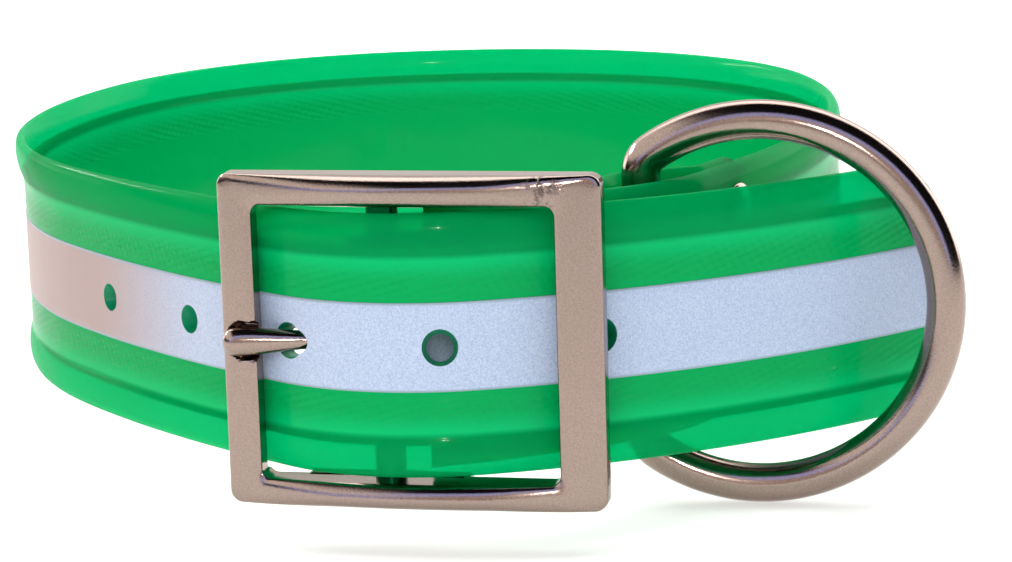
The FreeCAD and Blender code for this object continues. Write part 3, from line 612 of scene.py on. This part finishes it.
def make_tongue():
    """A wire from the loop to the seat, swelling into a blunt round tip."""
    turn = math.acos(np.clip(np.dot(WIRE_HEADING, SEAT_ALONG), -1, 1))
    setback = WIRE_BEND * math.tan(turn / 2)
    before, after = WIRE_CORNER - WIRE_HEADING * setback, WIRE_CORNER + SEAT_ALONG * setback
    inward = np.cross((0, 0, 1), WIRE_HEADING)
    inward *= np.sign(np.dot(inward, SEAT_ALONG))
    centre = before + inward * WIRE_BEND
    end_x = FRAME_LEFT + TIP_SHORT
    end = TIP_MIDDLE + SEAT_ALONG * ((end_x - TIP_MIDDLE[0]) / SEAT_ALONG[0])
    spine = [WIRE_START + (before - WIRE_START) * k / 24 for k in range(24)]
    for k in range(15):
        spin = np.cos(turn * k / 14) * -inward + np.sin(turn * k / 14) * WIRE_HEADING
        spine.append(centre + spin * WIRE_BEND)
    run = np.linalg.norm(end - after)
    count = 90
    spine += [after + SEAT_ALONG * run * math.sin(math.pi / 2 * k / count)
              for k in range(1, count + 1)]
    spine = np.array(spine)
    rows = []
    angle = np.linspace(0, 2 * math.pi, 64, endpoint=False)
    for k, point in enumerate(spine):
        ahead = spine[min(k + 1, len(spine) - 1)] - spine[max(k - 1, 0)]
        ahead /= np.linalg.norm(ahead)
        out = np.cross(ahead, (0, 0, 1))
        left = np.linalg.norm(end - point)
        swell = float(1 - smooth(3.0, 13.0, left))
        half_wide = HALF_WIRE_WIDE + (TIP_WIDTH / 2 - HALF_WIRE_WIDE) * swell
        half_deep = HALF_WIRE_DEEP + (TIP_THICK / 2 - HALF_WIRE_DEEP) * swell
        cap = math.sqrt(max(1e-4, 1 - (1 - min(left / half_wide, 1)) ** 2.4))
        wide = half_wide * cap * np.cos(angle)
        deep = half_deep * cap * np.sin(angle)
        rows.append(point + np.outer(wide, (0, 0, 1)) + np.outer(deep, out))
    pieces = [grid_part(np.array(rows))]
    # The loop is a short sleeve with rounded rims.
    section = []
    half_width, rim = 2.6, 0.55
    for radius, sign in ((LOOP_OUTER, 1), (BORE, -1)):
        for k in range(9):
            a = math.pi / 2 * k / 8
            edge = rim * (1 - math.cos(a)) if sign > 0 else rim * (1 - math.sin(a))
            high = half_width - rim + rim * (math.sin(a) if sign > 0 else math.cos(a))
            section.append((radius - sign * edge, high))
    section += [(r, -z) for r, z in reversed(section)]
    rows = [[(r * math.cos(a), r * math.sin(a), z) for r, z in section]
            for a in np.linspace(0, 2 * math.pi, 96, endpoint=False)]
    pieces.append(grid_part(np.array(rows), closed_rows=True))
    tongue = make_object("wire_tongue", pieces, BUCKLE)
    carve(tongue, make_object("bore", [upright_rod(BORE, -4.0, 4.0)], BUCKLE))
    return tongue


# ---------------------------------------------------------------- D ring and rivets


def make_ring():
    """Round wire along a straight bar, two small corners and a bow."""
    bow, offset, corner = 27.4, 17.2, 4.0
    half = math.sqrt((bow - corner) ** 2 - (offset - corner) ** 2)
    touch = math.atan2(half, corner - offset)
    spine = [(0.0, half * f, 1.0, 0.0) for f in np.linspace(-1, 1, 61)]
    for f in np.linspace(0, 1, 24)[1:]:
        a = math.pi + (touch - math.pi) * f
        spine.append((corner + corner * math.cos(a), half + corner * math.sin(a),
                      -math.cos(a), -math.sin(a)))
    for f in np.linspace(0, 1, 261)[1:]:
        a = touch * (1 - 2 * f)
        spine.append((offset + bow * math.cos(a), bow * math.sin(a), -math.cos(a), -math.sin(a)))
    for f in np.linspace(0, 1, 24)[1:-1]:
        a = -touch + (touch - math.pi) * f
        spine.append((corner + corner * math.cos(a), -half + corner * math.sin(a),
                      -math.cos(a), -math.sin(a)))
    angle = np.linspace(0, 2 * math.pi, 56, endpoint=False)
    rows = []
    for x, z, inward_x, inward_z in spine:
        c, s = np.cos(angle) * RING_WIRE, np.sin(angle) * RING_WIRE
        rows.append(np.stack([x + c * inward_x, s, z + c * inward_z], -1))
    place = (Matrix.Translation(Vector(ring_place))
             @ Matrix.Rotation(math.radians(-RING_TURN), 4, "Z"))
    return make_object("wire_ring", [grid_part(np.array(rows), closed_rows=True)], place)


def dome(radius, rim, high):
    """Half section of a domed disc, from the axis at its top to its lower rim."""
    crown = high - rim
    sphere = (radius ** 2 + crown ** 2) / (2 * crown)
    reach = math.asin(radius / sphere)
    points = [(sphere * math.sin(reach * k / 14), high - sphere * (1 - math.cos(reach * k / 14)))
              for k in range(14)]
    return points + [(radius - 0.08, rim + 0.04), (radius, rim - 0.08), (radius, 0.06),
                     (radius - 0.06, 0.0)]


RIVET_ROW = 12.0
SHANK, SOCKET = 1.5, 0.8


def make_rivets():
    """Heads on the outer face and caps on the neck side of both riveted layers."""
    made = []
    marks = [sum(item["length"] for item in route[:run]) + route[run]["length"] / 2
             for run in (NEAR_RUN, FAR_RUN)]
    for group, mark in zip(("near", "far"), marks):
        point, heading = place_on(route, mark)
        side = left_of(heading)
        spot = np.array((point[0] + side[0] * HALF_THICK, point[1] + side[1] * HALF_THICK))
        turn = Matrix.Rotation(math.radians(heading + 90), 4, "Z") @ Matrix.Rotation(
            math.pi / 2, 4, "Y")
        for row, high in (("upper", RIVET_ROW), ("lower", -RIVET_ROW)):
            place = Matrix.Translation((spot[0], spot[1], MID_Z + high)) @ turn
            face = -(4 * HALF_THICK + LAYER_GAP)
            bottom = face - SOCKET
            head = dome(4.0, 0.4, 1.3) + [(SHANK, -0.02), (SHANK, bottom), (0.0, bottom)]
            cap = [(r, face - z) for r, z in dome(3.2, 0.4, 1.5)]
            cap += [(SHANK, face), (SHANK, bottom), (0.0, bottom)]
            name = group + "_" + row
            made.append((make_object("head_" + name, [revolve(head)], place),
                         "rivet_post_" + name))
            made.append((make_object("cap_" + name, [revolve(cap)], place),
                         "rivet_cap_" + name))
    return made


# ---------------------------------------------------------------- node materials


class Nodes:
    """Short way to add and join shader nodes."""

    def __init__(self, tree):
        self.tree = tree

    def add(self, kind, inputs=None, **settings):
        node = self.tree.nodes.new(kind)
        for name, value in settings.items():
            setattr(node, name, value)
        for name, value in (inputs or {}).items():
            if isinstance(value, bpy.types.NodeSocket):
                self.tree.links.new(value, node.inputs[name])
            else:
                node.inputs[name].default_value = value
        return node

    def math(self, operation, a, b=0.0, c=0.0):
        return self.add("ShaderNodeMath", {0: a, 1: b, 2: c}, operation=operation).outputs[0]

    def step(self, value, low, high, start=0.0, end=1.0):
        """Smooth change from start to end as a value goes from low to high."""
        node = self.add("ShaderNodeMapRange", {"Value": value, "From Min": low, "From Max": high,
                                               "To Min": start, "To Max": end},
                        interpolation_type="SMOOTHSTEP")
        return node.outputs["Result"]

    def mix(self, factor, a, b):
        node = self.add("ShaderNodeMix", data_type="RGBA")
        for index, value in ((0, factor), (6, a), (7, b)):
            if isinstance(value, bpy.types.NodeSocket):
                self.tree.links.new(value, node.inputs[index])
            else:
                node.inputs[index].default_value = value
        return node.outputs[2]

    def noise(self, vector, scale, detail=2.0, roughness=0.5):
        node = self.add("ShaderNodeTexNoise", {"Vector": vector, "Scale": scale,
                                               "Detail": detail, "Roughness": roughness})
        return node.outputs["Fac"]

    def bump(self, height, strength, distance, normal=None):
        inputs = {"Height": height, "Strength": strength, "Distance": distance}
        if normal is not None:
            inputs["Normal"] = normal
        return self.add("ShaderNodeBump", inputs).outputs["Normal"]


def new_material(name):
    material = bpy.data.materials.new(name)
    material.use_nodes = True
    tree = material.node_tree
    tree.nodes.clear()
    nodes = Nodes(tree)
    output = nodes.add("ShaderNodeOutputMaterial")
    return material, nodes, output


GREEN = (0.0, 0.405, 0.104, 1.0)
GREEN_BEAD = (0.0, 0.54, 0.17, 1.0)
# The darker green below is painted shade for cut faces and hole walls.
GREEN_CUT_SHADED = (0.0, 0.16, 0.07, 1.0)
ROW_PITCH, STITCH_PITCH = 1.12, 1.55


def strap_coordinates(nodes):
    """Place along the strap and height above its middle, in millimetres."""
    uv = nodes.add("ShaderNodeUVMap", uv_map="route").outputs["UV"]
    split = nodes.add("ShaderNodeSeparateXYZ", {"Vector": uv})
    along = nodes.math("MULTIPLY", split.outputs["X"], 1000.0)
    across = nodes.math("MULTIPLY", split.outputs["Y"], 1000.0)
    return along, across


def weave_height(nodes, along, across):
    """Slanting rows of short stitches, 0 to 1."""
    slant = nodes.math("MULTIPLY_ADD", along, 0.30, across)
    row = nodes.math("MULTIPLY", slant, 2 * math.pi / ROW_PITCH)
    ribs = nodes.math("MULTIPLY_ADD", nodes.math("SINE", row), 0.5, 0.5)
    stitch = nodes.math("MULTIPLY", nodes.math("MULTIPLY_ADD", across, -0.55, along),
                        2 * math.pi / STITCH_PITCH)
    dots = nodes.math("MULTIPLY_ADD", nodes.math("SINE", stitch), 0.35, 0.65)
    return nodes.math("MULTIPLY", ribs, dots)


def coating_material():
    """Glossy green plastic: a weave shows in the web, and the beads let light through."""
    material, nodes, output = new_material("coated_green")
    along, across = strap_coordinates(nodes)
    away = nodes.math("ABSOLUTE", across)
    web = nodes.math("MULTIPLY", nodes.step(away, 6.7, 7.3), nodes.step(away, 12.6, 10.0))
    weave = nodes.math("MULTIPLY", weave_height(nodes, along, across), web)
    place = nodes.add("ShaderNodeTexCoord").outputs["Object"]
    ripple = nodes.noise(place, 90.0, 2.0)
    normal = nodes.bump(ripple, 0.25, 0.0008)
    normal = nodes.bump(weave, 0.4, 0.0003, normal)
    shell = nodes.add("ShaderNodeBsdfPrincipled", {
        "Base Color": nodes.mix(nodes.step(away, 9.0, 13.0), GREEN, GREEN_BEAD),
        "Roughness": 0.22, "IOR": 1.45, "Specular IOR Level": 0.03,
        "Coat Weight": 0.12, "Coat Roughness": 0.07,
        "Normal": normal})
    through = nodes.add("ShaderNodeBsdfTranslucent", {"Color": (0.0, 0.70, 0.24, 1.0)})
    body = nodes.add("ShaderNodeMixShader", {0: 0.2, 1: shell.outputs[0], 2: through.outputs[0]})
    clear = nodes.add("ShaderNodeBsdfTransparent", {"Color": (0.01, 0.64, 0.38, 1.0)})
    edge = nodes.step(away, 12.2, 13.4, 0.0, 0.58)
    both = nodes.add("ShaderNodeMixShader", {0: edge, 1: body.outputs[0], 2: clear.outputs[0]})
    nodes.tree.links.new(both.outputs[0], output.inputs["Surface"])
    return material


def cut_shade_material():
    """Cut faces and hole walls in a darker green: painted shade standing in for the shadow inside
    the holes and on the cut edges.
    """
    material, nodes, output = new_material("cut_edge_painted_shade")
    place = nodes.add("ShaderNodeTexCoord").outputs["Object"]
    grain = nodes.noise(place, 1600.0, 2.0)
    colour = nodes.mix(grain, GREEN_CUT_SHADED, (0.0, 0.26, 0.12, 1.0))
    shell = nodes.add("ShaderNodeBsdfPrincipled", {
        "Base Color": colour, "Roughness": 0.35, "Specular IOR Level": 0.3,
        "Normal": nodes.bump(grain, 0.3, 0.0002)})
    nodes.tree.links.new(shell.outputs[0], output.inputs["Surface"])
    return material


def tape_material():
    """Silver-lilac reflective tape with fine glass-bead grain and duller borders; its left end is
    painted tan, as painted shade where the tape turns away.
    """
    material, nodes, output = new_material("reflective_tape")
    along, across = strap_coordinates(nodes)
    away = nodes.math("ABSOLUTE", across)
    place = nodes.add("ShaderNodeTexCoord").outputs["Object"]
    fine = nodes.noise(place, 6000.0, 1.0)
    coarse = nodes.noise(place, 3600.0, 3.0)
    grain = nodes.math("MULTIPLY_ADD", coarse, 0.5, nodes.math("MULTIPLY", fine, 0.5))
    speckle = nodes.step(grain, 0.38, 0.62)
    colour = nodes.mix(speckle, (0.34, 0.42, 0.60, 1.0), (0.49, 0.57, 0.72, 1.0))
    split = nodes.add("ShaderNodeSeparateXYZ", {"Vector": place})
    # Painted shade: the left end of the tape, where it turns away, is painted tan in place of the
    # lilac it shows when lit head-on.
    painted_turn_shade = nodes.math("MULTIPLY", nodes.step(split.outputs["X"], -0.036, -0.058),
                        nodes.step(split.outputs["Y"], 0.07, -0.02))
    colour = nodes.mix(painted_turn_shade, colour, (0.37, 0.275, 0.265, 1.0))
    border = nodes.step(away, 5.95, 6.3)
    colour = nodes.mix(border, colour, (0.26, 0.36, 0.44, 1.0))
    shell = nodes.add("ShaderNodeBsdfPrincipled", {
        "Base Color": colour, "Roughness": 0.42, "Specular IOR Level": 0.3,
        "Normal": nodes.bump(grain, 0.35, 0.00015)})
    nodes.tree.links.new(shell.outputs[0], output.inputs["Surface"])
    return material


def nickel_material(name, speckle, scuffed=False):
    """Cast or drawn nickel: a pitted grey-brown metal, polished by wear."""
    material, nodes, output = new_material(name)
    place = nodes.add("ShaderNodeTexCoord").outputs["Object"]
    pits = nodes.step(nodes.noise(place, 3800.0, 2.0), 0.30, 0.70)
    broad = nodes.noise(place, 60.0, 3.0)
    colour = nodes.mix(pits, (0.275, 0.205, 0.175, 1.0), (0.33, 0.25, 0.215, 1.0))
    rough = nodes.step(broad, 0.35, 0.7, 0.12, 0.19)
    height = nodes.math("MULTIPLY_ADD", pits, speckle, nodes.math("MULTIPLY", broad, 0.8))
    normal = nodes.bump(height, 0.07, 0.0002)
    if scuffed:
        colour, normal = scuffs(nodes, place, colour, normal)
    shell = nodes.add("ShaderNodeBsdfPrincipled", {
        "Base Color": colour, "Metallic": 1.0, "Roughness": rough, "Normal": normal})
    nodes.tree.links.new(shell.outputs[0], output.inputs["Surface"])
    return material


def scuffs(nodes, place, colour, normal):
    """Dark pitted scuffs on the upper right corner of the frame."""
    corner = local_to_row((24.6, -6.0, 22.0)) * MM
    offset = nodes.add("ShaderNodeVectorMath", {0: place, 1: tuple(corner)}, operation="SUBTRACT")
    reach = nodes.add("ShaderNodeVectorMath", {0: offset.outputs[0]}, operation="LENGTH")
    near = nodes.step(reach.outputs["Value"], 0.0036, 0.001)
    marks = nodes.noise(place, 900.0, 4.0, 0.65)
    dark = nodes.math("MULTIPLY", nodes.step(marks, 0.50, 0.62, 0.0, 0.6), near)
    colour = nodes.mix(dark, colour, (0.035, 0.03, 0.03, 1.0))
    return colour, nodes.bump(dark, 0.6, 0.0004, normal)


def webbing_material():
    """Green woven webbing, for the sealed core."""
    material, nodes, output = new_material("woven_core")
    place = nodes.add("ShaderNodeTexCoord").outputs["Object"]
    threads = nodes.add("ShaderNodeTexWave", {"Vector": place, "Scale": 700.0,
                                              "Distortion": 1.0}, bands_direction="Z")
    colour = nodes.mix(threads.outputs["Fac"], (0.0, 0.28, 0.07, 1.0), (0.0, 0.42, 0.11, 1.0))
    shell = nodes.add("ShaderNodeBsdfPrincipled", {
        "Base Color": colour, "Roughness": 0.75,
        "Normal": nodes.bump(threads.outputs["Fac"], 0.5, 0.0003)})
    nodes.tree.links.new(shell.outputs[0], output.inputs["Surface"])
    return material


def floor_material():
    material, nodes, output = new_material("pale_floor")
    place = nodes.add("ShaderNodeTexCoord").outputs["Object"]
    colour = nodes.mix(nodes.noise(place, 3.0), (0.89, 0.89, 0.88, 1.0), (0.91, 0.91, 0.90, 1.0))
    shell = nodes.add("ShaderNodeBsdfPrincipled", {
        "Base Color": colour, "Roughness": 0.9, "Specular IOR Level": 0.0})
    nodes.tree.links.new(shell.outputs[0], output.inputs["Surface"])
    return material


# ---------------------------------------------------------------- the object


def dress(obj, *materials):
    obj.data.materials.clear()
    for material in materials:
        obj.data.materials.append(material)


def place_piece(obj, body, slot, *nodes):
    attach(obj, body)
    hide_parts(*nodes)


# The second material is painted shade: a darker green for cut faces and hole walls.
coating, cut = coating_material(), cut_shade_material()
tape = tape_material()
frame_nickel = nickel_material("cast_nickel", 0.5, scuffed=True)
wire_nickel = nickel_material("drawn_nickel", 0.3)


def cut_tool(name, pieces):
    """A cutter whose cut faces take the second material, the painted-shade green."""
    obj = make_object(name, pieces)
    dress(obj, coating, cut)
    obj.data.polygons.foreach_set("material_index", [1] * len(obj.data.polygons))
    obj.data.uv_layers.new(name="route")
    return obj


def cut_strap(obj):
    """Cut the holes, the tongue's way and the slot in the fold."""
    carve(obj, cut_tool("holes", hole_cutters()))
    carve(obj, cut_tool("way", [tongue_way()]))
    slot = prism(fold_outline(SLOT_REACH), MID_Z - SLOT_HALF, MID_Z + SLOT_HALF)
    carve(obj, cut_tool("slot", [slot]))


strap = strap_mesh()
dress(strap, coating, cut)
cut_strap(strap)
for low, high in ((MID_Z - 25, MID_Z - TRIM_FROM), (MID_Z + TRIM_FROM, MID_Z + 25)):
    carve(strap, cut_tool("trim", [prism(fold_outline(TRIM_REACH), low, high)]))
carve(strap, cut_tool("tip", tip_corners(0.0, False, TIP_CORNER)
                      + tip_corners(ROUTE_LENGTH, True, TAIL_END_CORNER)))
shade(strap)
place_piece(strap, "strap", "green_coating", "strap_coating")

stripe = stripe_mesh()
dress(stripe, tape, cut)
cut_strap(stripe)
shade(stripe)
place_piece(stripe, "strap", "reflective_tape", "reflective_stripe")

cast_frame = make_frame()
dress(cast_frame, frame_nickel)
shade(cast_frame, 35)
place_piece(cast_frame, "frame", "nickel", "buckle_frame")

tongue = make_tongue()
dress(tongue, wire_nickel)
shade(tongue, 60)
place_piece(tongue, "tongue", "nickel", "buckle_tongue")

ring = make_ring()
dress(ring, wire_nickel)
shade(ring)
place_piece(ring, "ring", "nickel", "d_ring")

for rivet, node in make_rivets():
    dress(rivet, wire_nickel)
    shade(rivet, 50)
    place_piece(rivet, "strap", "nickel", node)

core = frame["nodes"]["webbing_core"]
dress(core, webbing_material())

# ---------------------------------------------------------------- stage and light

floor_mesh = bpy.data.meshes.new("floor")
FLOOR_RADIUS, FLOOR_SIDES, FLOOR_DROP = 3.0, 96, 0.0004
floor_turns = [2 * math.pi * k / FLOOR_SIDES for k in range(FLOOR_SIDES)]
floor_rim = [(FLOOR_RADIUS * math.cos(a), FLOOR_RADIUS * math.sin(a), -FLOOR_DROP)
             for a in floor_turns]
floor_mesh.from_pydata(floor_rim, [], [list(range(FLOOR_SIDES))])
floor = bpy.data.objects.new("floor", floor_mesh)
bpy.context.scene.collection.objects.link(floor)
dress(floor, floor_material())


def soft_light(name, place, target, width, height, watts, tint=(1.0, 1.0, 1.0), glossy=False):
    """A rectangular lamp aimed at a point; only a glossy one shows in reflections."""
    data = bpy.data.lights.new(name, "AREA")
    data.shape = "RECTANGLE"
    data.size, data.size_y = width, height
    data.energy = watts
    data.color = tint
    obj = bpy.data.objects.new(name, data)
    bpy.context.scene.collection.objects.link(obj)
    obj.visible_glossy = glossy
    obj.location = place
    obj.rotation_euler = (Vector(target) - Vector(place)).to_track_quat("-Z", "Y").to_euler()
    return obj


def light_linked(lamp, thing, state):
    """Light only this thing, unshadowed (INCLUDE), or everything but it (EXCLUDE)."""
    group = bpy.data.collections.new(lamp.name + "_link")
    group.objects.link(thing)
    group.collection_objects[0].light_linking.link_state = state
    lamp.light_linking.receiver_collection = group
    if state == "INCLUDE":
        lamp.light_linking.blocker_collection = group


spark = soft_light("spark", (0.02, -1.2, 0.34), (0, -0.08, 0.03), 0.07, 0.05, 2.5, glossy=True)
spark.visible_diffuse = False
for lamp in (
        soft_light("overhead", (0.0, 0.5, 1.3), (0, 0.1, 0), 1.4, 1.0, 16),
        soft_light("front", (-0.2, -1.4, 0.8), (0, 0, 0.03), 1.2, 0.6, 11),
        soft_light("left", (-1.2, 0.0, 0.35), (0, 0, 0.03), 0.6, 0.5, 2.5, (1.0, 0.38, 0.06))):
    light_linked(lamp, floor, "EXCLUDE")
glint = soft_light("glint", (-0.78, 0.55, 0.5), (-0.05, 0, 0.04), 0.5, 0.10, 5, glossy=True)
glint.visible_diffuse = False
wash = soft_light("wash", (0.0, 0.3, 1.0), (0, 0.1, 0), 1.6, 1.2, 25)
light_linked(wash, floor, "INCLUDE")


def studio_world():
    """A plain room: reflections see light and dark bands from front to back."""
    world = bpy.data.worlds.new("studio")
    world.use_nodes = True
    tree = world.node_tree
    tree.nodes.clear()
    nodes = Nodes(tree)
    direction = nodes.add("ShaderNodeTexCoord").outputs["Generated"]
    split = nodes.add("ShaderNodeSeparateXYZ", {"Vector": direction})
    behind = nodes.math("MULTIPLY_ADD", split.outputs["Y"], 0.5, 0.5)
    ramp = nodes.add("ShaderNodeValToRGB", {"Fac": behind})
    bands = ((0.0, (0.85, 0.72, 0.66)), (0.06, (0.85, 0.72, 0.66)), (0.085, (0.85, 1.0, 1.9)),
             (0.15, (0.8, 0.95, 1.8)), (0.19, (0.01, 0.01, 0.015)), (0.68, (0.01, 0.01, 0.01)),
             (0.72, (3.6, 3.6, 3.6)), (0.87, (3.6, 3.6, 3.6)), (0.92, (1.0, 0.96, 0.93)))
    elements = ramp.color_ramp.elements
    elements[0].position, elements[0].color = bands[0][0], (*bands[0][1], 1)
    elements[1].position, elements[1].color = bands[-1][0], (*bands[-1][1], 1)
    for place, colour in bands[1:-1]:
        elements.new(place).color = (*colour, 1)
    aside = nodes.step(split.outputs["X"], -0.38, -0.60)
    above = nodes.step(split.outputs["Z"], 0.12, 0.32)
    colour = nodes.mix(nodes.math("MULTIPLY", aside, above), ramp.outputs["Color"],
                       (1.5, 1.45, 1.4, 1.0))
    room = nodes.add("ShaderNodeBackground", {"Color": colour, "Strength": 1.0})
    plain = nodes.add("ShaderNodeBackground", {"Color": (1, 1, 1, 1), "Strength": 0.5})
    path = nodes.add("ShaderNodeLightPath")
    both = nodes.add("ShaderNodeMixShader", {0: path.outputs["Is Glossy Ray"],
                                             1: plain.outputs[0], 2: room.outputs[0]})
    nodes.add("ShaderNodeOutputWorld", {"Surface": both.outputs[0]})
    bpy.context.scene.world = world


studio_world()
bpy.context.scene.view_settings.view_transform = "Standard"
bpy.context.scene.view_settings.look = "None"
